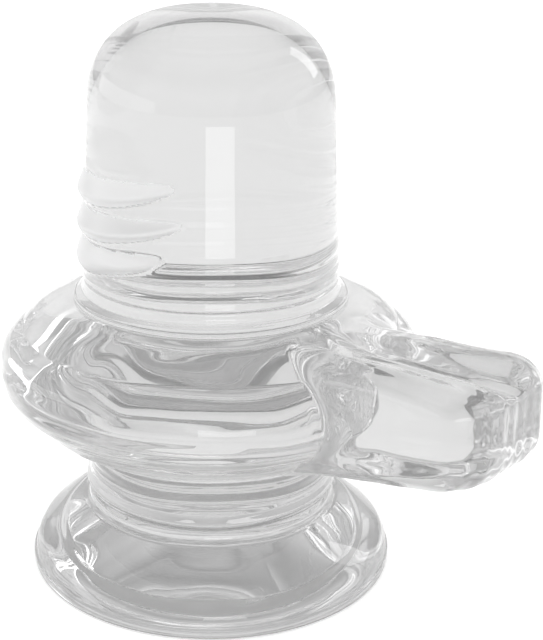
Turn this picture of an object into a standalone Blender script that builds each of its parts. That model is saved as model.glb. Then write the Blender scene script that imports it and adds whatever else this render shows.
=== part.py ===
"""A clear glass shiva lingam with its yoni: a domed pillar on a round, spouted plate, a neck and a foot.

The whole object is one pressed and polished piece of glass. Metres, +Z up. The origin is the centre of
the foot's flat underside, and the spout runs along +X.
"""

import math

import bmesh
import bpy
from mathutils import Matrix, Vector

MM = 0.001

# Foot: a low bun on a thin upright rim, ground flat underneath.
FOOT_RADIUS = 26.4 * MM
FOOT_HEIGHT = 9.4 * MM
FOOT_SHOULDER_ROUND = 4.2 * MM
FOOT_RIM_HEIGHT = 1.5 * MM
FOOT_RIM_STEP = 0.3 * MM
FOOT_EDGE_BEVEL = 0.3 * MM

# Neck, between the foot and the plate, with a soft ring near its foot.
NECK_RADIUS = 17.6 * MM
NECK_HEIGHT = 10.8 * MM
NECK_FILLET = 1.2 * MM
NECK_RING_LEVEL = 3.4 * MM
NECK_RING_HEIGHT = 2.6 * MM
NECK_RING_PROUD = 0.7 * MM

# Plate (yoni): a cone above, a shallower cone below and a full round rim between them.
PLATE_RADIUS = 30.0 * MM
PLATE_HEIGHT = 19.8 * MM
PLATE_RIM_ROUND = 6.3 * MM
PLATE_RIM_LEVEL = 10.4 * MM

# Lingam: a pillar with a slight taper, a flattened dome and a flared foot with an upright lip.
LINGAM_HEIGHT = 40.0 * MM
LINGAM_TOP_RADIUS = 16.9 * MM
LINGAM_BASE_RADIUS = 18.0 * MM
DOME_HEIGHT = 14.4 * MM
DOME_FULLNESS = 2.6
FLARE_HEIGHT = 3.6 * MM
FLARE_PROUD = 1.0 * MM
LIP_HEIGHT = 0.9 * MM
GROOVE_DEPTH = 0.5 * MM

# Spout: a soft-edged beam that widens and rises a little towards its tip.
SPOUT_REACH = 20.4 * MM
SPOUT_TIP_WIDTH = 20.7 * MM
SPOUT_TIP_HEIGHT = 13.4 * MM
SPOUT_TIP_RISE = 1.2 * MM
SPOUT_FLARE_SLOPE = 0.05
SPOUT_TOP_SLOPE = 0.07
SPOUT_UNDERSIDE_SLOPE = 0.23
SPOUT_CORNER_ROUND = 7.0 * MM
SPOUT_TOP_ROUND = 6.2 * MM
SPOUT_BOTTOM_ROUND = 6.2 * MM
SPOUT_ROOT_SHARE = 0.55

# Water channel along the top of the spout: level, open at the tip, with a pointed inner end.
CHANNEL_WIDTH = 9.4 * MM
CHANNEL_DEPTH = 2.6 * MM
CHANNEL_START_GAP = 1.8 * MM
CHANNEL_POINT = 2.0

# Tripundra: three raised bands on the side of the lingam, ends turned up.
BAND_AZIMUTH = math.radians(223)
BAND_HALF_SPANS = tuple(math.radians(a) for a in (69, 77, 74))
BAND_LOWEST_LEVEL = 7.3 * MM
BAND_PITCH = 4.7 * MM
BAND_WIDTH = 4.1 * MM
BAND_PROUD = 0.7 * MM
BAND_END_RISE = 2.7 * MM
BAND_ROOT = 1.5 * MM

# Facets.
TURNS = 64
DOME_STEPS = 12
RIM_STEPS = 12
FOOT_STEPS = 6
FILLET_STEPS = 3
FLARE_STEPS = 3
RING_STEPS = 4
BAND_STEPS = 22
BAND_ROWS = 6
CHANNEL_TURNS = 48

# Levels that follow from the stack.
NECK_BOTTOM = FOOT_HEIGHT
NECK_TOP = NECK_BOTTOM + NECK_HEIGHT
PLATE_TOP = NECK_TOP + PLATE_HEIGHT
LINGAM_TOP = PLATE_TOP + LINGAM_HEIGHT
LIP_RADIUS = LINGAM_BASE_RADIUS + FLARE_PROUD
SPOUT_TIP_TOP = PLATE_TOP + SPOUT_TIP_RISE
SPOUT_TIP = PLATE_RADIUS + SPOUT_REACH


def lingam_radius(z):
    """The pillar's radius at a level between its flared foot and its dome."""
    low, high = PLATE_TOP + FLARE_HEIGHT, LINGAM_TOP - DOME_HEIGHT
    share = (z - low) / (high - low)
    return LINGAM_BASE_RADIUS + (LINGAM_TOP_RADIUS - LINGAM_BASE_RADIUS) * share


def arc(centre, radius, start, end, steps):
    """Points (r, z) on a circle, from angle start to angle end."""
    turn = (end - start) / steps
    return [
        (
            centre[0] + radius * math.cos(start + turn * i),
            centre[1] + radius * math.sin(start + turn * i),
        )
        for i in range(steps + 1)
    ]


def quarter_oval(inner, outer, low, high, fullness, steps):
    """Points from (inner, high), where it is level, round to (outer, low), where it is upright."""
    points = []
    for i in range(steps + 1):
        angle = math.pi / 2 * i / steps
        across = math.sin(angle) ** (2 / fullness)
        up = math.cos(angle) ** (2 / fullness)
        points.append((inner + (outer - inner) * across, low + (high - low) * up))
    return points


def tangent_angle(point, centre, radius, side):
    """The angle on a circle where a straight line from an outside point touches it."""
    away = Vector(point) - Vector(centre)
    return math.atan2(away.y, away.x) - side * math.acos(radius / away.length)


def dome_points():
    low = LINGAM_TOP - DOME_HEIGHT
    return quarter_oval(
        0, LINGAM_TOP_RADIUS, low, LINGAM_TOP, DOME_FULLNESS, DOME_STEPS
    )


def lingam_foot_points():
    """The flare, its upright lip and the groove where the lip meets the plate."""
    points = []
    for i in range(FLARE_STEPS + 1):
        share = i / FLARE_STEPS
        r = LINGAM_BASE_RADIUS + FLARE_PROUD * share**2
        points.append((r, PLATE_TOP + FLARE_HEIGHT - (FLARE_HEIGHT - LIP_HEIGHT) * share))
    points.append((LIP_RADIUS, PLATE_TOP + LIP_HEIGHT / 3))
    points.append((LIP_RADIUS - GROOVE_DEPTH, PLATE_TOP - GROOVE_DEPTH / 2))
    return points


def plate_points():
    """Upper cone, round rim and lower cone. The cones touch the rim's circle without a corner."""
    centre = (PLATE_RADIUS - PLATE_RIM_ROUND, NECK_TOP + PLATE_RIM_LEVEL)
    top = (LIP_RADIUS + GROOVE_DEPTH / 2, PLATE_TOP)
    bottom = (NECK_RADIUS + NECK_FILLET / 2, NECK_TOP)
    start = tangent_angle(top, centre, PLATE_RIM_ROUND, 1)
    end = tangent_angle(bottom, centre, PLATE_RIM_ROUND, -1)
    if end > start:
        end -= 2 * math.pi
    rim = arc(centre, PLATE_RIM_ROUND, start, end, RIM_STEPS)
    return [top, *rim, bottom]


def neck_points():
    """The neck's straight side, its ring, and a fillet at its foot."""
    points = [(NECK_RADIUS, NECK_TOP - NECK_FILLET)]
    middle = NECK_BOTTOM + NECK_RING_LEVEL
    for i in range(RING_STEPS + 1):
        share = 1 - 2 * i / RING_STEPS
        bulge = (1 + math.cos(math.pi * share)) / 2
        points.append((NECK_RADIUS + NECK_RING_PROUD * bulge, middle + NECK_RING_HEIGHT / 2 * share))
    corner = (NECK_RADIUS + NECK_FILLET, NECK_BOTTOM + NECK_FILLET)
    return points + arc(corner, NECK_FILLET, math.pi, math.pi * 1.5, FILLET_STEPS)


def foot_points():
    """A cone that rounds over into a thin upright rim, with a small step above the rim."""
    start = (NECK_RADIUS + NECK_FILLET, NECK_BOTTOM)
    centre = (FOOT_RADIUS - FOOT_RIM_STEP - FOOT_SHOULDER_ROUND, FOOT_RIM_HEIGHT)
    angle = tangent_angle(start, centre, FOOT_SHOULDER_ROUND, 1)
    return [
        *arc(centre, FOOT_SHOULDER_ROUND, angle, 0, FOOT_STEPS),
        (FOOT_RADIUS, FOOT_RIM_HEIGHT - FOOT_RIM_STEP),
        (FOOT_RADIUS, FOOT_EDGE_BEVEL),
        (FOOT_RADIUS - FOOT_EDGE_BEVEL, 0),
        (0, 0),
    ]


def profile():
    upper = dome_points() + lingam_foot_points()
    return upper + plate_points() + neck_points() + foot_points()


def finish_mesh(name, bm):
    """Makes an object of a bmesh, with its faces pointing out."""
    bmesh.ops.recalc_face_normals(bm, faces=bm.faces)
    mesh = bpy.data.meshes.new(name)
    bm.to_mesh(mesh)
    bm.free()
    obj = bpy.data.objects.new(name, mesh)
    bpy.context.scene.collection.objects.link(obj)
    return obj


def make_turned_body(name):
    """Dome, pillar, plate, neck and foot, turned in one about Z."""
    bm = bmesh.new()
    verts = [bm.verts.new((r, 0, z)) for r, z in profile()]
    edges = [bm.edges.new(pair) for pair in zip(verts, verts[1:])]
    bmesh.ops.spin(
        bm,
        geom=verts + edges,
        cent=(0, 0, 0),
        axis=(0, 0, 1),
        angle=2 * math.pi,
        steps=TURNS,
        use_merge=True,
    )
    bmesh.ops.remove_doubles(bm, verts=bm.verts, dist=0.01 * MM)
    return finish_mesh(name, bm)


def make_spout():
    """A beam along +X, rounded on its tip corners and its long edges."""
    root = NECK_RADIUS * SPOUT_ROOT_SHARE
    length = SPOUT_TIP - root
    tip_low = SPOUT_TIP_TOP - SPOUT_TIP_HEIGHT
    ends = (
        (
            root,
            SPOUT_TIP_WIDTH / 2 - length * SPOUT_FLARE_SLOPE,
            tip_low - length * SPOUT_UNDERSIDE_SLOPE,
            SPOUT_TIP_TOP - length * SPOUT_TOP_SLOPE,
        ),
        (SPOUT_TIP, SPOUT_TIP_WIDTH / 2, tip_low, SPOUT_TIP_TOP),
    )
    bm = bmesh.new()
    for x, half, low, high in ends:
        for y in (-half, half):
            for z in (low, high):
                bm.verts.new((x, y, z))
    bmesh.ops.convex_hull(bm, input=bm.verts)
    bmesh.ops.dissolve_limit(bm, angle_limit=math.radians(1), verts=bm.verts, edges=bm.edges)
    at_tip = SPOUT_TIP - 0.01 * MM
    upright = [
        edge
        for edge in bm.edges
        if all(v.co.x > at_tip for v in edge.verts)
        and abs(edge.verts[0].co.z - edge.verts[1].co.z) > SPOUT_TIP_HEIGHT / 2
    ]
    round_edges(bm, upright, SPOUT_CORNER_ROUND, 6)
    for side, radius in ((1, SPOUT_TOP_ROUND), (-1, SPOUT_BOTTOM_ROUND)):
        rim = [edge for edge in bm.edges if is_rim(edge, side)]
        round_edges(bm, rim, radius, 5)
    return finish_mesh("spout_block", bm)


def is_rim(edge, side):
    """Whether an edge lies between the spout's top (side 1) or underside (side -1) and its upright faces."""
    facing = [side * face.normal.z > 0.9 for face in edge.link_faces]
    inner_end = any(face.normal.x < -0.9 for face in edge.link_faces)
    return sorted(facing) == [False, True] and not inner_end


def round_edges(bm, edges, radius, steps):
    bmesh.ops.bevel(
        bm,
        geom=edges,
        offset=radius,
        offset_type="OFFSET",
        segments=steps,
        profile=0.5,
        affect="EDGES",
    )
    bm.normal_update()


def make_channel_cutters():
    """A round bar and a drawn-out ball at its inner end, which cut the channel."""
    half = CHANNEL_WIDTH / 2
    radius = (half**2 + CHANNEL_DEPTH**2) / (2 * CHANNEL_DEPTH)
    level = SPOUT_TIP_TOP - CHANNEL_DEPTH + radius
    start = LIP_RADIUS + CHANNEL_START_GAP + half * CHANNEL_POINT
    length = SPOUT_TIP * 1.2 - start
    lay_down = Matrix.Rotation(math.pi / 2, 4, "Y")
    bm = bmesh.new()
    bmesh.ops.create_cone(
        bm,
        cap_ends=True,
        segments=CHANNEL_TURNS,
        radius1=radius,
        radius2=radius,
        depth=length,
        matrix=Matrix.Translation((start + length / 2, 0, level)) @ lay_down,
    )
    bar = finish_mesh("channel_bar", bm)
    bm = bmesh.new()
    bmesh.ops.create_uvsphere(
        bm,
        u_segments=CHANNEL_TURNS,
        v_segments=CHANNEL_TURNS // 2,
        radius=radius,
        matrix=Matrix.Translation((start, 0, level))
        @ Matrix.Diagonal((CHANNEL_POINT, 1, 1, 1))
        @ lay_down,
    )
    return [bar, finish_mesh("channel_end", bm)]


def make_band(number):
    """One raised band: a pad with a soft ridge low down, which runs out to a point at each end."""
    half_span = BAND_HALF_SPANS[number]
    level = PLATE_TOP + BAND_LOWEST_LEVEL + BAND_PITCH * number
    bm = bmesh.new()
    rings = []
    for i in range(1, BAND_STEPS):
        along = -math.cos(math.pi * i / BAND_STEPS)
        angle = BAND_AZIMUTH + half_span * along
        swell = math.sqrt(1 - along**2)
        middle = level + BAND_END_RISE * along**2
        half = BAND_WIDTH / 2 * swell**0.9
        proud = BAND_PROUD * swell
        ring = []
        for j in range(BAND_ROWS + 1):
            across = 2 * j / BAND_ROWS - 1
            lift = proud * (1 - across**2)
            ring.append(on_pillar(bm, angle, middle + half * across, lift))
        for share in (0.7, -0.7):
            ring.append(on_pillar(bm, angle, middle + half * share, -BAND_ROOT))
        rings.append(ring)
    close_loft(bm, rings)
    return finish_mesh("band", bm)


def on_pillar(bm, angle, z, lift):
    r = lingam_radius(z) + lift
    return bm.verts.new((r * math.cos(angle), r * math.sin(angle), z))


def close_loft(bm, rings):
    """Faces between rings of points, each closed on itself, with a cap at each end."""
    for one, two in zip(rings, rings[1:]):
        count = len(one)
        for j in range(count):
            k = (j + 1) % count
            bm.faces.new((one[j], one[k], two[k], two[j]))
    bm.faces.new(rings[0][::-1])
    bm.faces.new(rings[-1])
    bmesh.ops.remove_doubles(bm, verts=bm.verts, dist=0.01 * MM)
    bmesh.ops.dissolve_degenerate(bm, dist=0.001 * MM, edges=bm.edges)


def combine(body, other, operation):
    """Adds a union or a cut to the body as a Boolean modifier, and hides the shape that it uses."""
    modifier = body.modifiers.new(other.name, "BOOLEAN")
    modifier.operation = operation
    modifier.solver = "EXACT"
    modifier.object = other
    other.hide_render = True
    other.display_type = "WIRE"


def clear_crystal():
    """Water-clear glass."""
    material = bpy.data.materials.new("clear_crystal")
    material.use_nodes = True
    shader = material.node_tree.nodes["Principled BSDF"]
    shader.inputs["Base Color"].default_value = (0.97, 0.98, 0.98, 1)
    shader.inputs["Metallic"].default_value = 0
    shader.inputs["Roughness"].default_value = 0.02
    shader.inputs["IOR"].default_value = 1.52
    shader.inputs["Transmission Weight"].default_value = 1
    return material


def main():
    for obj in list(bpy.data.objects):
        bpy.data.objects.remove(obj, do_unlink=True)
    body = make_turned_body("shiva_lingam")
    combine(body, make_spout(), "UNION")
    for number in range(len(BAND_HALF_SPANS)):
        combine(body, make_band(number), "UNION")
    for cutter in make_channel_cutters():
        combine(body, cutter, "DIFFERENCE")
    body.data.materials.append(clear_crystal())
    body.data.shade_smooth()
    body.data.set_sharp_from_angle(angle=math.radians(35))


main()
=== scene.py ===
"""The looks of the clear glass shiva lingam: a fine glass surface, floor, light and camera."""

import math

import bpy
import numpy as np
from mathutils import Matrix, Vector, noise

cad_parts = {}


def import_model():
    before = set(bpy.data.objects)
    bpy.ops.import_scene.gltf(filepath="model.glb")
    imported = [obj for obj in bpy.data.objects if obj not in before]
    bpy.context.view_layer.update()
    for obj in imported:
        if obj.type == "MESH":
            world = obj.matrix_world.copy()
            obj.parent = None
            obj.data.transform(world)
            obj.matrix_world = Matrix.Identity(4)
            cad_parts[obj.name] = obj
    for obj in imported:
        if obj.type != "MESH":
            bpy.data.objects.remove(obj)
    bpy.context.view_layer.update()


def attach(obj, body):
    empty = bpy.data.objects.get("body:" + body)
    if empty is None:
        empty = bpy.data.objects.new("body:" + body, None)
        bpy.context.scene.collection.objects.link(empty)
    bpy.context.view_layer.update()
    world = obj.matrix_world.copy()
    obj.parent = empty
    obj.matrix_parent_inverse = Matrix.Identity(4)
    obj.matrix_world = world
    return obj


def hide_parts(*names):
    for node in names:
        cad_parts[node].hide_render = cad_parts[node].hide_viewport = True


MM = 0.001

# Sizes in millimetres, angles in degrees, slopes as rise over run. Most are the part's own. The
# bands and the foot's edge are a little bolder here, and the finest forms are here alone.
FOOT_RADIUS = 26.4
FOOT_HEIGHT = 9.4
FOOT_SHOULDER_ROUND = 4.2
FOOT_RIM_HEIGHT = 1.5
FOOT_RIM_STEP = 0.3
FOOT_RIM_ROUND = 0.3
FOOT_RIM_DROP = 0.35
FOOT_EDGE_BEVEL = 0.35
FOOT_HOLLOW_RADIUS = 20.4
FOOT_HOLLOW_DEPTH = 0.6
FOOT_HOLLOW_STEP = 1.5
FOOT_HOLLOW_HALFWAY = 12
FOOT_HOLLOW_INNER = 5
NECK_RADIUS = 17.6
NECK_TOP = 20.2
NECK_FILLET = 1.2
NECK_RING_LEVEL = 12.8
NECK_RING_HEIGHT = 2.6
NECK_RING_PROUD = 0.7
PLATE_RADIUS = 30.0
PLATE_TOP = 40.0
PLATE_RIM_ROUND = 6.3
PLATE_RIM_LEVEL = 30.6
LINGAM_TOP = 80.0
LINGAM_TOP_RADIUS = 16.9
LINGAM_BASE_RADIUS = 18.0
DOME_HEIGHT = 14.4
DOME_FULLNESS = 2.6
FLARE_HEIGHT = 3.6
FLARE_PROUD = 1.0
LIP_HEIGHT = 0.9
LIP_INSET = 0.1
GROOVE_DEPTH = 0.5
GROOVE_DROP = 0.25
SPOUT_TIP = 50.4
SPOUT_TIP_TOP = 41.2
SPOUT_TIP_WIDTH = 20.7
SPOUT_TIP_HEIGHT = 13.4
SPOUT_FLARE_SLOPE = 0.05
SPOUT_TOP_SLOPE = 0.07
SPOUT_UNDERSIDE_SLOPE = 0.23
SPOUT_CORNER = 7.0
SPOUT_ROUND = 4.0
SPOUT_BLEND = 2.6
CHANNEL_WIDTH = 9.4
CHANNEL_DEPTH = 2.6
CHANNEL_START = 30.2
CHANNEL_POINT = 2.0
CHANNEL_BLEND = 0.9
BAND_AZIMUTH = 223.0
BAND_HALF_SPANS = (69.0, 77.0, 74.0)
BAND_LOWEST_LEVEL = 47.3
BAND_PITCH = 4.7
BAND_WIDTH = 4.3
BAND_PROUD = 1.0
BAND_CREST = 0.35
BAND_END_RISE = 2.7
BAND_CREST_BLEND = 0.12
BANDS_ABOVE = PLATE_TOP + 1

# The bands get their painted highlight finish, paler and less clear, from this much lift.
PAINTED_HIGHLIGHT_FROM = 0.03

# Depth of the hollow underneath, halfway in and at its centre, as shares of its depth.
HALFWAY_SHARE = 1.1
CENTRE_SHARE = 1.2

# Two fine grooves at the pillar's foot.
GROOVE_LEVELS = (41.7, 42.9)
FINE_GROOVE_DEPTH = 0.14
FINE_GROOVE_WIDTH = 0.24

# Marks of the casting, as a wave's height and length.
FLARE_RINGS = (0.07, 2.8)
NECK_RINGS = (0.1, 2.7)
PLATE_RINGS = (0.03, 2.6)
SPOUT_STREAKS = (0.06, 2.2)
HOLLOW_RINGS = (0.12, 2.3)
PILLAR_SWELL = (0.03, 14.0)
PLATE_SWELL = (0.2, 7.0)
SPOUT_SWELL = (0.2, 6.0)
FOOT_SWELL = (0.2, 7.0)
HOLLOW_SWELL = (0.4, 6.0)

# Grid of the glass surface: steps round the axis, and more of them this many degrees to each
# side of the spout.
TURNS = 206
SPOUT_TURNS = 82
SPOUT_ZONE = 24.0

# The plate's sections are measured outwards from this point (r, z), in fine steps of angle. The
# spout's surface is found by halving the reach, where the cosine of the angle round the axis
# passes SPOUT_COSINE. Its blend with the plate fades out at both ends of a section.
SECTION_CENTRE = (14.0, 30.6)
SECTION_STEPS = 700
FARTHEST_REACH = 60.0
HALVINGS = 26
SPOUT_COSINE = 0.7
BLEND_FADE = 0.3

# Rows of the grid, from the dome downwards.
DOME_ROWS = 44
SIDE_ROWS = 78
FLARE_ROWS = 34
PLATE_ROWS = 84
NECK_ROWS = 34
SHOULDER_ROWS = 26
RIM_ROWS = 14
HOLLOW_ROWS = 9

# Glass: tint, roughness and clearness of its two finishes, and what both share. The clear
# glass's grey tint and its absorption are painted shade that greys the crystal. The bands'
# paler, less clear finish is a painted highlight.
CLEAR_GLASS_PAINTED_SHADE = (0.56, 0.0, 1.0)
BAND_PAINTED_HIGHLIGHT = (0.92, 0.3, 0.66)
GLASS_IOR = 1.5
PAINTED_SHADE_DENSITY = 1.2
RIPPLE_SCALE = 180.0
RIPPLE_HEIGHT = 0.00001

# The photograph's width and height in pixels, and the column where the axis stands.
IMAGE = (543, 640)
AXIS_COLUMN = 211.05

# Camera, in degrees and metres, with its lens in millimetres.
VIEW_AZIMUTH = math.radians(42.5)
VIEW_PITCH = math.radians(20.05)
VIEW_DISTANCE = 0.1913
VIEW_HEIGHT = 0.1057
VIEW_LENS = 80.5

# Floor, in metres, with its paleness and its glow.
FLOOR_HALF = 3
FLOOR_LEVEL = -0.0001
FLOOR_PALENESS = 0.9
FLOOR_GLOW = 0.4

# Soft boxes: azimuth from the camera's and elevation in degrees, distance and size in metres,
# and power.
SOFT_LIGHTS = {
    "soft_left": (-88, 6, 1.0, (1.5, 0.2), 1.0),
    "soft_right": (118, 26, 1.0, (0.2, 0.5), 0.8),
    "soft_front": (7.5, -4.9, 0.22, (0.095, 0.04), 0.03),
}
LIGHT_AIM_HEIGHT = 0.04
LIGHT_BOUNCES = 64

# How bright the studio is by height: sine of the elevation and brightness.
STUDIO = ((0.0, 0.95), (0.3, 1.4), (0.6, 0.72), (1.0, 1.5))
STUDIO_STRENGTH = 1.9


def smooth_max(a, b, k):
    """The larger of two values, with the corner between them rounded over about k."""
    h = np.maximum(k - np.abs(a - b), 0)
    return np.maximum(a, b) + h * h / (4 * np.maximum(k, 1e-9))


def smooth_min(a, b, k):
    """The smaller of two values, with the corner between them rounded in the same way."""
    return -smooth_max(-a, -b, k)


def arc(centre, radius, start, end, count=120):
    """Points (r, z) on a circle, from angle start to angle end."""
    a = np.linspace(start, end, count)
    return np.stack([centre[0] + radius * np.cos(a), centre[1] + radius * np.sin(a)], 1)


def tangent_angle(point, centre, radius, side):
    """The angle on a circle where a straight line from an outside point touches it."""
    dx, dz = point[0] - centre[0], point[1] - centre[1]
    return math.atan2(dz, dx) - side * math.acos(radius / math.hypot(dx, dz))


def spaced(points, count, turn_weight=0.0):
    """Spreads count points along a fine line of points, closer together where it turns."""
    steps = np.diff(points, axis=0)
    length = np.hypot(steps[:, 0], steps[:, 1])
    heading = np.unwrap(np.arctan2(steps[:, 1], steps[:, 0]))
    turn = np.abs(np.diff(heading, prepend=heading[0]))
    run = np.concatenate([[0], np.cumsum(length + turn_weight * turn)])
    at = np.linspace(0, run[-1], count)
    return np.stack([np.interp(at, run, points[:, i]) for i in (0, 1)], 1)


def dome():
    """The dome's outline (r, z), from its top down."""
    a = np.linspace(0, math.pi / 2, 1200)
    low = LINGAM_TOP - DOME_HEIGHT
    r = LINGAM_TOP_RADIUS * np.sin(a) ** (2 / DOME_FULLNESS)
    z = low + DOME_HEIGHT * np.clip(np.cos(a), 0, 1) ** (2 / DOME_FULLNESS)
    return np.stack([r, z], 1)


def lingam_side():
    """The pillar's slightly tapered side, from the dome down to the flare."""
    high, low = LINGAM_TOP - DOME_HEIGHT, PLATE_TOP + FLARE_HEIGHT
    return np.array([(LINGAM_TOP_RADIUS, high), (LINGAM_BASE_RADIUS, low)])


def flare_and_lip():
    """The flare, the lip under it and the groove where the lip meets the plate."""
    share = np.linspace(0, 1, 60)
    flare = np.stack(
        [
            LINGAM_BASE_RADIUS + FLARE_PROUD * share**4,
            PLATE_TOP + FLARE_HEIGHT - (FLARE_HEIGHT - LIP_HEIGHT) * share,
        ],
        1,
    )
    lip = LINGAM_BASE_RADIUS + FLARE_PROUD
    half = LIP_HEIGHT / 2
    bead = arc((lip - LIP_INSET, PLATE_TOP + half), half, 1.35, -1.9, 60)
    groove = (lip - GROOVE_DEPTH, PLATE_TOP - GROOVE_DROP)
    return np.concatenate([flare[:-1], bead, [groove]])


def plate_line():
    """The plate's outline from the groove over the rim to the neck, without the spout."""
    centre = (PLATE_RADIUS - PLATE_RIM_ROUND, PLATE_RIM_LEVEL)
    top = (LINGAM_BASE_RADIUS + FLARE_PROUD + GROOVE_DROP, PLATE_TOP)
    bottom = (NECK_RADIUS + NECK_FILLET / 2, NECK_TOP)
    start = tangent_angle(top, centre, PLATE_RIM_ROUND, 1)
    end = tangent_angle(bottom, centre, PLATE_RIM_ROUND, -1)
    rim = arc(centre, PLATE_RIM_ROUND, start, end, 400)
    return np.concatenate([[top], rim, [bottom]])


def neck_and_foot():
    """Three lines: the neck with its ring and fillet, the foot's shoulder, and its rim."""
    a = np.linspace(-1, 1, 60)
    ring = np.stack(
        [
            NECK_RADIUS + NECK_RING_PROUD * (1 + np.cos(math.pi * a)) / 2,
            NECK_RING_LEVEL - NECK_RING_HEIGHT / 2 * a,
        ],
        1,
    )
    corner = (NECK_RADIUS + NECK_FILLET, FOOT_HEIGHT + NECK_FILLET)
    fillet = arc(corner, NECK_FILLET, math.pi, 1.5 * math.pi, 60)
    centre = (FOOT_RADIUS - FOOT_RIM_STEP - FOOT_SHOULDER_ROUND, FOOT_RIM_HEIGHT)
    start = tangent_angle((corner[0], FOOT_HEIGHT), centre, FOOT_SHOULDER_ROUND, 1)
    shoulder = arc(centre, FOOT_SHOULDER_ROUND, start, 0, 120)
    edge = (FOOT_RADIUS - FOOT_EDGE_BEVEL, FOOT_EDGE_BEVEL)
    rim_centre = (FOOT_RADIUS - FOOT_RIM_ROUND, FOOT_RIM_HEIGHT - FOOT_RIM_DROP)
    rim = arc(rim_centre, FOOT_RIM_ROUND, 1.4, 0, 20)
    bevel = arc(edge, FOOT_EDGE_BEVEL, 0, -math.pi / 2, 20)
    return [
        np.concatenate([[(NECK_RADIUS, NECK_TOP - NECK_FILLET)], ring, fillet]),
        shoulder,
        np.concatenate([rim, bevel]),
    ]


def spout_distance(x, y, z):
    """Signed distance to the spout alone: a beam that widens towards a round tip."""
    back = SPOUT_TIP - x
    half = SPOUT_TIP_WIDTH / 2 - SPOUT_FLARE_SLOPE * back
    high = SPOUT_TIP_TOP - SPOUT_TOP_SLOPE * back
    low = SPOUT_TIP_TOP - SPOUT_TIP_HEIGHT - SPOUT_UNDERSIDE_SLOPE * back
    qx = x - (SPOUT_TIP - SPOUT_CORNER)
    qy = np.abs(y) - (half - SPOUT_CORNER)
    plan = np.sqrt(np.maximum(qx, 0) ** 2 + np.maximum(qy, 0) ** 2)
    plan = plan + np.minimum(np.maximum(qx, qy), 0) - SPOUT_CORNER + SPOUT_ROUND
    rise = np.abs(z - (high + low) / 2) - ((high - low) / 2 - SPOUT_ROUND)
    outside = np.sqrt(np.maximum(plan, 0) ** 2 + np.maximum(rise, 0) ** 2)
    return outside + np.minimum(np.maximum(plan, rise), 0) - SPOUT_ROUND


def channel_floor(x, y):
    """Level of the channel's floor above a point, or a high level where there is no channel."""
    half = CHANNEL_WIDTH / 2
    radius = (half**2 + CHANNEL_DEPTH**2) / (2 * CHANNEL_DEPTH)
    level = SPOUT_TIP_TOP - CHANNEL_DEPTH + radius
    behind = np.maximum(CHANNEL_START - x, 0) / CHANNEL_POINT
    return level - np.sqrt(np.maximum(radius**2 - y**2 - behind**2, 0))


def plate_sections(thetas):
    """For each angle, points (r, z) from the groove, over plate and spout, to the neck."""
    cr, cz = SECTION_CENTRE
    line = plate_line()
    phi_line = np.arctan2(line[:, 1] - cz, line[:, 0] - cr)
    reach_line = np.hypot(line[:, 0] - cr, line[:, 1] - cz)
    phi = np.linspace(phi_line[0], phi_line[-1], SECTION_STEPS)
    plain = np.interp(phi, phi_line[::-1], reach_line[::-1])
    t, p = np.meshgrid(thetas, phi, indexing="ij")
    low, high = np.zeros_like(t), np.full_like(t, FARTHEST_REACH)
    for _ in range(HALVINGS):
        middle = (low + high) / 2
        r, z = cr + middle * np.cos(p), cz + middle * np.sin(p)
        within = spout_distance(r * np.cos(t), r * np.sin(t), z) < 0
        within &= np.cos(t) > SPOUT_COSINE
        low, high = np.where(within, middle, low), np.where(within, high, middle)
    ends = np.minimum(phi[0] - p, p - phi[-1])
    blend = SPOUT_BLEND * np.clip(ends / BLEND_FADE, 0.02, 1)
    reach = smooth_max(plain[None], low, blend)
    sections = []
    for i in range(len(thetas)):
        r, z = cr + reach[i] * np.cos(phi), cz + reach[i] * np.sin(phi)
        if math.cos(thetas[i]) > 0:
            x, y = r * math.cos(thetas[i]), r * math.sin(thetas[i])
            floor = channel_floor(x, y)
            carved = smooth_min(z, floor, CHANNEL_BLEND)
            z = np.where((z > PLATE_RIM_LEVEL) & (x > LINGAM_BASE_RADIUS), carved, z)
        sections.append(spaced(np.stack([r, z], 1), PLATE_ROWS, 2.0))
    return np.array(sections)


def band_lift(theta, z):
    """How far the three raised bands stand out from the pillar at an angle and a level."""
    lift = np.zeros_like(z)
    for number, half_span in enumerate(BAND_HALF_SPANS):
        away = (np.degrees(theta) - BAND_AZIMUTH + 180) % 360 - 180
        along = away / half_span
        swell = np.sqrt(np.maximum(1 - along**2, 0))
        middle = BAND_LOWEST_LEVEL + BAND_PITCH * number + BAND_END_RISE * along**2
        down = (middle - z) / np.maximum(BAND_WIDTH / 2 * swell**0.9, 1e-6)
        above = (down + 1) / (1 + BAND_CREST)
        below = (1 - down) / (1 - BAND_CREST)
        section = smooth_min(above, np.sqrt(np.clip(below, 0, 1)), BAND_CREST_BLEND)
        section = np.where(np.abs(down) < 1, np.maximum(section, 0), 0)
        lift = np.maximum(lift, BAND_PROUD * swell**0.8 * section)
    return lift


def fade(value, low, high):
    """0 below low, 1 above high, smooth between."""
    share = np.clip((value - low) / (high - low), 0, 1)
    return share * share * (3 - 2 * share)


def between(value, low, high, soft):
    """1 from low to high, fading to 0 over soft beyond them."""
    return fade(value, low - soft, low) * (1 - fade(value, high, high + soft))


def noise_field(points, wave, seed):
    """Smooth unevenness of about one wavelength, in millimetres."""
    height, length = wave
    offset = Vector((seed * 17.3, seed * 5.1, seed * 9.7))
    values = [noise.noise(Vector(p) / length + offset) for p in points.tolist()]
    return height * np.array(values)


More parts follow.
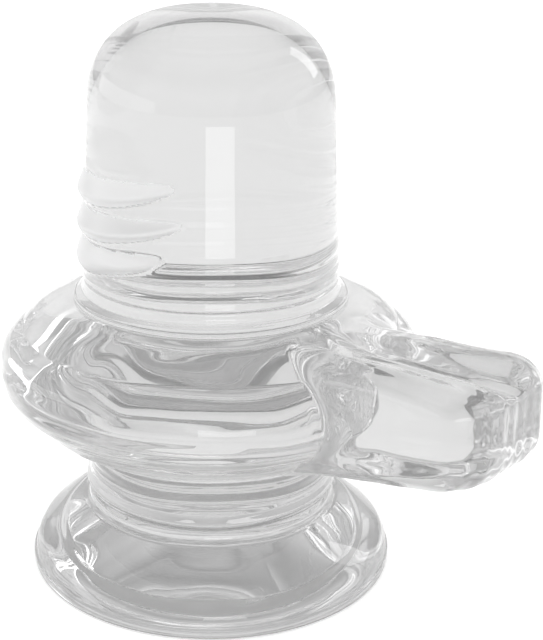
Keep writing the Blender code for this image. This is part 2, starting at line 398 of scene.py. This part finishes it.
def ring_waves(points):
    """Turned rings and grooves and the spout's streaks, a little uneven round the axis."""
    x, y, z = points.T
    r = np.hypot(x, y)
    t = np.arctan2(y, x)
    wander = 0.25 * np.sin(2 * t + 0.6) + 0.15 * np.sin(5 * t + 2.1)
    pillar = r < LINGAM_BASE_RADIUS + FLARE_PROUD + 0.3
    flare = between(z, PLATE_TOP + 4, PLATE_TOP + 9.5, 1.0) * pillar
    grooves = sum(
        np.exp(-(((z + wander / 3 - level) / FINE_GROOVE_WIDTH) ** 2)) for level in GROOVE_LEVELS
    )
    neck = between(z, FOOT_HEIGHT + 1.6, NECK_TOP - 1.4, 1.0) * (r < NECK_RADIUS + 1.5)
    plate = between(z, NECK_TOP + 2, PLATE_TOP + 0.5, 1.0) * fade(r, 19, 21) * fade(-x, -25, -21)
    spout = fade(x, PLATE_RADIUS - 4, PLATE_RADIUS + 1) * (z > NECK_TOP + 2)
    hollow = (z < 2) * fade(z, 0.1, FOOT_HOLLOW_DEPTH) * (r < FOOT_HOLLOW_RADIUS + 0.5)
    return -FINE_GROOVE_DEPTH * grooves * pillar + sum(
        share * height * np.sin(2 * math.pi * (along + wander) / length)
        for share, (height, length), along in (
            (flare, FLARE_RINGS, z),
            (neck, NECK_RINGS, z),
            (plate, PLATE_RINGS, r + z),
            (spout, SPOUT_STREAKS, y + 0.08 * x),
            (hollow, HOLLOW_RINGS, r),
        )
    )


def uneven(points, normals):
    """Moves the surface in and out by the marks of the casting, except where it stands."""
    x, y, z = points.T
    r = np.hypot(x, y)
    pillar = fade(z, PLATE_TOP + 0.5, PLATE_TOP + 3)
    spout = fade(x, PLATE_RADIUS - 2, PLATE_RADIUS + 4)
    plate = between(z, NECK_TOP + 1, PLATE_TOP, 1.0) * (1 - spout) * fade(r, 18, 21)
    foot = between(z, 1.8, FOOT_HEIGHT + 1, 0.8)
    shift = ring_waves(points)
    for share, wave, seed in (
        (pillar * (1 - spout), PILLAR_SWELL, 1),
        (plate, PLATE_SWELL, 2),
        (spout, SPOUT_SWELL, 3),
        (foot, FOOT_SWELL, 4),
    ):
        shift = shift + share * noise_field(points, wave, seed)
    hollow = (r < FOOT_HOLLOW_RADIUS + 0.5) & (z < 2)
    dent = noise_field(points, HOLLOW_SWELL, 5) * fade(z, 0.1, FOOT_HOLLOW_DEPTH)
    shift = shift + np.where(hollow, dent, 0)
    return points + normals * shift[:, None]


def grid_normals(grid):
    """Outward normals of the turned grid, from its neighbours."""
    along = np.gradient(grid, axis=1)
    around = np.roll(grid, -1, axis=0) - np.roll(grid, 1, axis=0)
    normal = np.cross(along, around)
    return normal / np.maximum(np.linalg.norm(normal, axis=2, keepdims=True), 1e-9)


def turn_angles():
    """Angles round the axis, closer together where the spout is."""
    zone = math.radians(SPOUT_ZONE)
    near = np.linspace(-zone, zone, SPOUT_TURNS, endpoint=False)
    far = np.linspace(zone, 2 * math.pi - zone, TURNS, endpoint=False)
    return np.concatenate([near, far])


def glass_points():
    """The whole surface as a grid, from the dome down to the hollow underneath."""
    thetas = turn_angles()
    upper = np.concatenate(
        [
            spaced(dome(), DOME_ROWS)[1:],
            spaced(lingam_side(), SIDE_ROWS)[1:],
            spaced(flare_and_lip(), FLARE_ROWS, 1.0)[1:],
        ]
    )
    rows = (NECK_ROWS, SHOULDER_ROWS, RIM_ROWS)
    lower = np.concatenate([spaced(line, n, 1.0) for line, n in zip(neck_and_foot(), rows)])
    share = np.linspace(0, 1, HOLLOW_ROWS)
    rise = share**2 * (3 - 2 * share)
    step = np.stack([FOOT_HOLLOW_RADIUS - FOOT_HOLLOW_STEP * share, FOOT_HOLLOW_DEPTH * rise], 1)
    halfway = (FOOT_HOLLOW_HALFWAY, FOOT_HOLLOW_DEPTH * HALFWAY_SHARE)
    inner = (FOOT_HOLLOW_INNER, FOOT_HOLLOW_DEPTH * CENTRE_SHARE)
    hollow = np.concatenate([step, [halfway, inner]])
    plate = plate_sections(thetas)
    count = len(thetas)
    section = np.concatenate(
        [
            np.repeat(upper[None], count, 0),
            plate,
            np.repeat(np.concatenate([lower, hollow])[None], count, 0),
        ],
        1,
    )
    r, z = section[..., 0], section[..., 1]
    t = np.repeat(thetas[:, None], r.shape[1], 1)
    r = r + np.where(z > BANDS_ABOVE, band_lift(t, z), 0)
    return np.stack([r * np.cos(t), r * np.sin(t), z], -1)


def paint_band_highlights(mesh):
    """Gives the raised bands the second finish, paler and less clear: a painted highlight."""
    centres = np.zeros(len(mesh.polygons) * 3)
    mesh.polygons.foreach_get("center", centres)
    x, y, z = centres.reshape(-1, 3).T / MM
    theta = np.arctan2(y, x)
    # Polygons of the bands take the finish of the painted highlight.
    raised = (z > BANDS_ABOVE) & (band_lift(theta, z) > PAINTED_HIGHLIGHT_FROM)
    mesh.polygons.foreach_set("material_index", raised.astype(np.int32))


def make_glass():
    """One closed mesh: the grid, with a point at the dome's top and one under the foot."""
    grid = glass_points()
    turns, rows = grid.shape[:2]
    grid = uneven(grid.reshape(-1, 3), grid_normals(grid).reshape(-1, 3)).reshape(turns, rows, 3)
    grid *= MM
    hollow = FOOT_HOLLOW_DEPTH * CENTRE_SHARE * MM
    points = np.concatenate([grid.reshape(-1, 3), [(0, 0, LINGAM_TOP * MM), (0, 0, hollow)]])
    top, bottom = turns * rows, turns * rows + 1
    faces = []
    for i in range(turns):
        k = (i + 1) % turns
        a, b = i * rows, k * rows
        faces.append((top, a, b))
        faces.extend((a + j, a + j + 1, b + j + 1, b + j) for j in range(rows - 1))
        faces.append((bottom, b + rows - 1, a + rows - 1))
    mesh = bpy.data.meshes.new("shiva_lingam_glass")
    mesh.from_pydata(points.tolist(), [], faces)
    mesh.shade_smooth()
    paint_band_highlights(mesh)
    mesh.validate()
    obj = bpy.data.objects.new("shiva_lingam_glass", mesh)
    bpy.context.scene.collection.objects.link(obj)
    return obj


def glass(name, painted_light_tint, roughness, clearness):
    """Cast glass with faint ripples in its surface."""
    material = bpy.data.materials.new(name)
    material.use_nodes = True
    nodes, links = material.node_tree.nodes, material.node_tree.links
    shader = nodes["Principled BSDF"]
    # The tint is painted light: grey on the clear glass is painted shade, pale on the bands a
    # painted highlight.
    shader.inputs["Base Color"].default_value = (painted_light_tint, painted_light_tint, painted_light_tint, 1)
    shader.inputs["Roughness"].default_value = roughness
    shader.inputs["IOR"].default_value = GLASS_IOR
    shader.inputs["Transmission Weight"].default_value = clearness
    # Black absorption darkens the glass by its thickness: painted shade.
    body = nodes.new("ShaderNodeVolumeAbsorption")
    body.inputs["Color"].default_value = (0.0, 0.0, 0.0, 1)
    body.inputs["Density"].default_value = PAINTED_SHADE_DENSITY
    links.new(body.outputs["Volume"], nodes["Material Output"].inputs["Volume"])
    place = nodes.new("ShaderNodeTexCoord")
    ripples = nodes.new("ShaderNodeTexNoise")
    ripples.inputs["Scale"].default_value = RIPPLE_SCALE
    ripples.inputs["Detail"].default_value = 1.0
    links.new(place.outputs["Object"], ripples.inputs["Vector"])
    bump = nodes.new("ShaderNodeBump")
    bump.inputs["Strength"].default_value = 1.0
    bump.inputs["Distance"].default_value = RIPPLE_HEIGHT
    links.new(ripples.outputs["Fac"], bump.inputs["Height"])
    links.new(bump.outputs["Normal"], shader.inputs["Normal"])
    return material


def make_floor():
    """One plain pale floor with the same soft glow all over, as a lit white table has."""
    material = bpy.data.materials.new("floor")
    material.use_nodes = True
    shader = material.node_tree.nodes["Principled BSDF"]
    pale = FLOOR_PALENESS
    shader.inputs["Base Color"].default_value = (pale, pale, pale, 1)
    shader.inputs["Roughness"].default_value = 0.9
    shader.inputs["Emission Color"].default_value = (1, 1, 1, 1)
    shader.inputs["Emission Strength"].default_value = FLOOR_GLOW
    mesh = bpy.data.meshes.new("floor")
    signs = ((-1, -1), (1, -1), (1, 1), (-1, 1))
    corners = [(a * FLOOR_HALF, b * FLOOR_HALF, FLOOR_LEVEL) for a, b in signs]
    mesh.from_pydata(corners, [], [(0, 1, 2, 3)])
    mesh.materials.append(material)
    floor = bpy.data.objects.new("floor", mesh)
    bpy.context.scene.collection.objects.link(floor)


def make_camera():
    """The photograph's viewpoint: close, a little above the dome, with the spout to the right."""
    data = bpy.data.cameras.new("camera")
    camera = bpy.data.objects.new("camera", data)
    right, back = math.sin(VIEW_AZIMUTH), -math.cos(VIEW_AZIMUTH)
    camera.location = (VIEW_DISTANCE * right, VIEW_DISTANCE * back, VIEW_HEIGHT)
    camera.rotation_euler = (math.pi / 2 - VIEW_PITCH, 0, VIEW_AZIMUTH)
    data.sensor_width = 36
    data.lens = VIEW_LENS
    data.shift_x = (IMAGE[0] / 2 - AXIS_COLUMN) / max(IMAGE)
    data.clip_start = 0.005
    bpy.context.scene.collection.objects.link(camera)
    bpy.context.scene.camera = camera


def soft_light(name, azimuth, elevation, distance, size, power):
    """A soft box that faces the object."""
    data = bpy.data.lights.new(name, "AREA")
    data.shape = "RECTANGLE"
    data.size, data.size_y = size
    data.energy = power
    light = bpy.data.objects.new(name, data)
    a, e = VIEW_AZIMUTH + math.radians(azimuth), math.radians(elevation)
    aim = Vector((math.sin(a) * math.cos(e), -math.cos(a) * math.cos(e), math.sin(e)))
    light.location = Vector((0, 0, LIGHT_AIM_HEIGHT)) + distance * aim
    light.rotation_euler = aim.to_track_quat("Z", "Y").to_euler()
    bpy.context.scene.collection.objects.link(light)


def make_light():
    """A plain white studio, graded by height alone, with soft boxes."""
    scene = bpy.context.scene
    world = bpy.data.worlds.new("studio")
    world.use_nodes = True
    nodes, links = world.node_tree.nodes, world.node_tree.links
    place = nodes.new("ShaderNodeTexCoord")
    height = nodes.new("ShaderNodeSeparateXYZ")
    links.new(place.outputs["Generated"], height.inputs[0])
    ramp = nodes.new("ShaderNodeValToRGB")
    while len(ramp.color_ramp.elements) < len(STUDIO):
        ramp.color_ramp.elements.new(0.5)
    for element, (position, bright) in zip(ramp.color_ramp.elements, STUDIO):
        # Halved, so that every colour of the ramp stays below 1.
        half = bright / 2
        element.position = position
        element.color = (half, half, half, 1)
    links.new(height.outputs["Z"], ramp.inputs["Fac"])
    links.new(ramp.outputs["Color"], nodes["Background"].inputs["Color"])
    nodes["Background"].inputs["Strength"].default_value = STUDIO_STRENGTH
    scene.world = world
    for name, values in SOFT_LIGHTS.items():
        soft_light(name, *values)
    scene.view_settings.view_transform = "Standard"
    scene.cycles.max_bounces = LIGHT_BOUNCES
    scene.cycles.transmission_bounces = LIGHT_BOUNCES
    scene.cycles.glossy_bounces = LIGHT_BOUNCES


def main():
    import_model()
    piece = make_glass()
    # Clear glass, greyed by a tint and absorption of painted shade.
    piece.data.materials.append(glass("crystal_glass", *CLEAR_GLASS_PAINTED_SHADE))
    # The bands' finish: paler and less clear, a painted highlight.
    piece.data.materials.append(glass("painted_highlight_bands", *BAND_PAINTED_HIGHLIGHT))
    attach(piece, "root")
    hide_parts("shiva_lingam")
    make_floor()
    make_camera()
    make_light()


main()
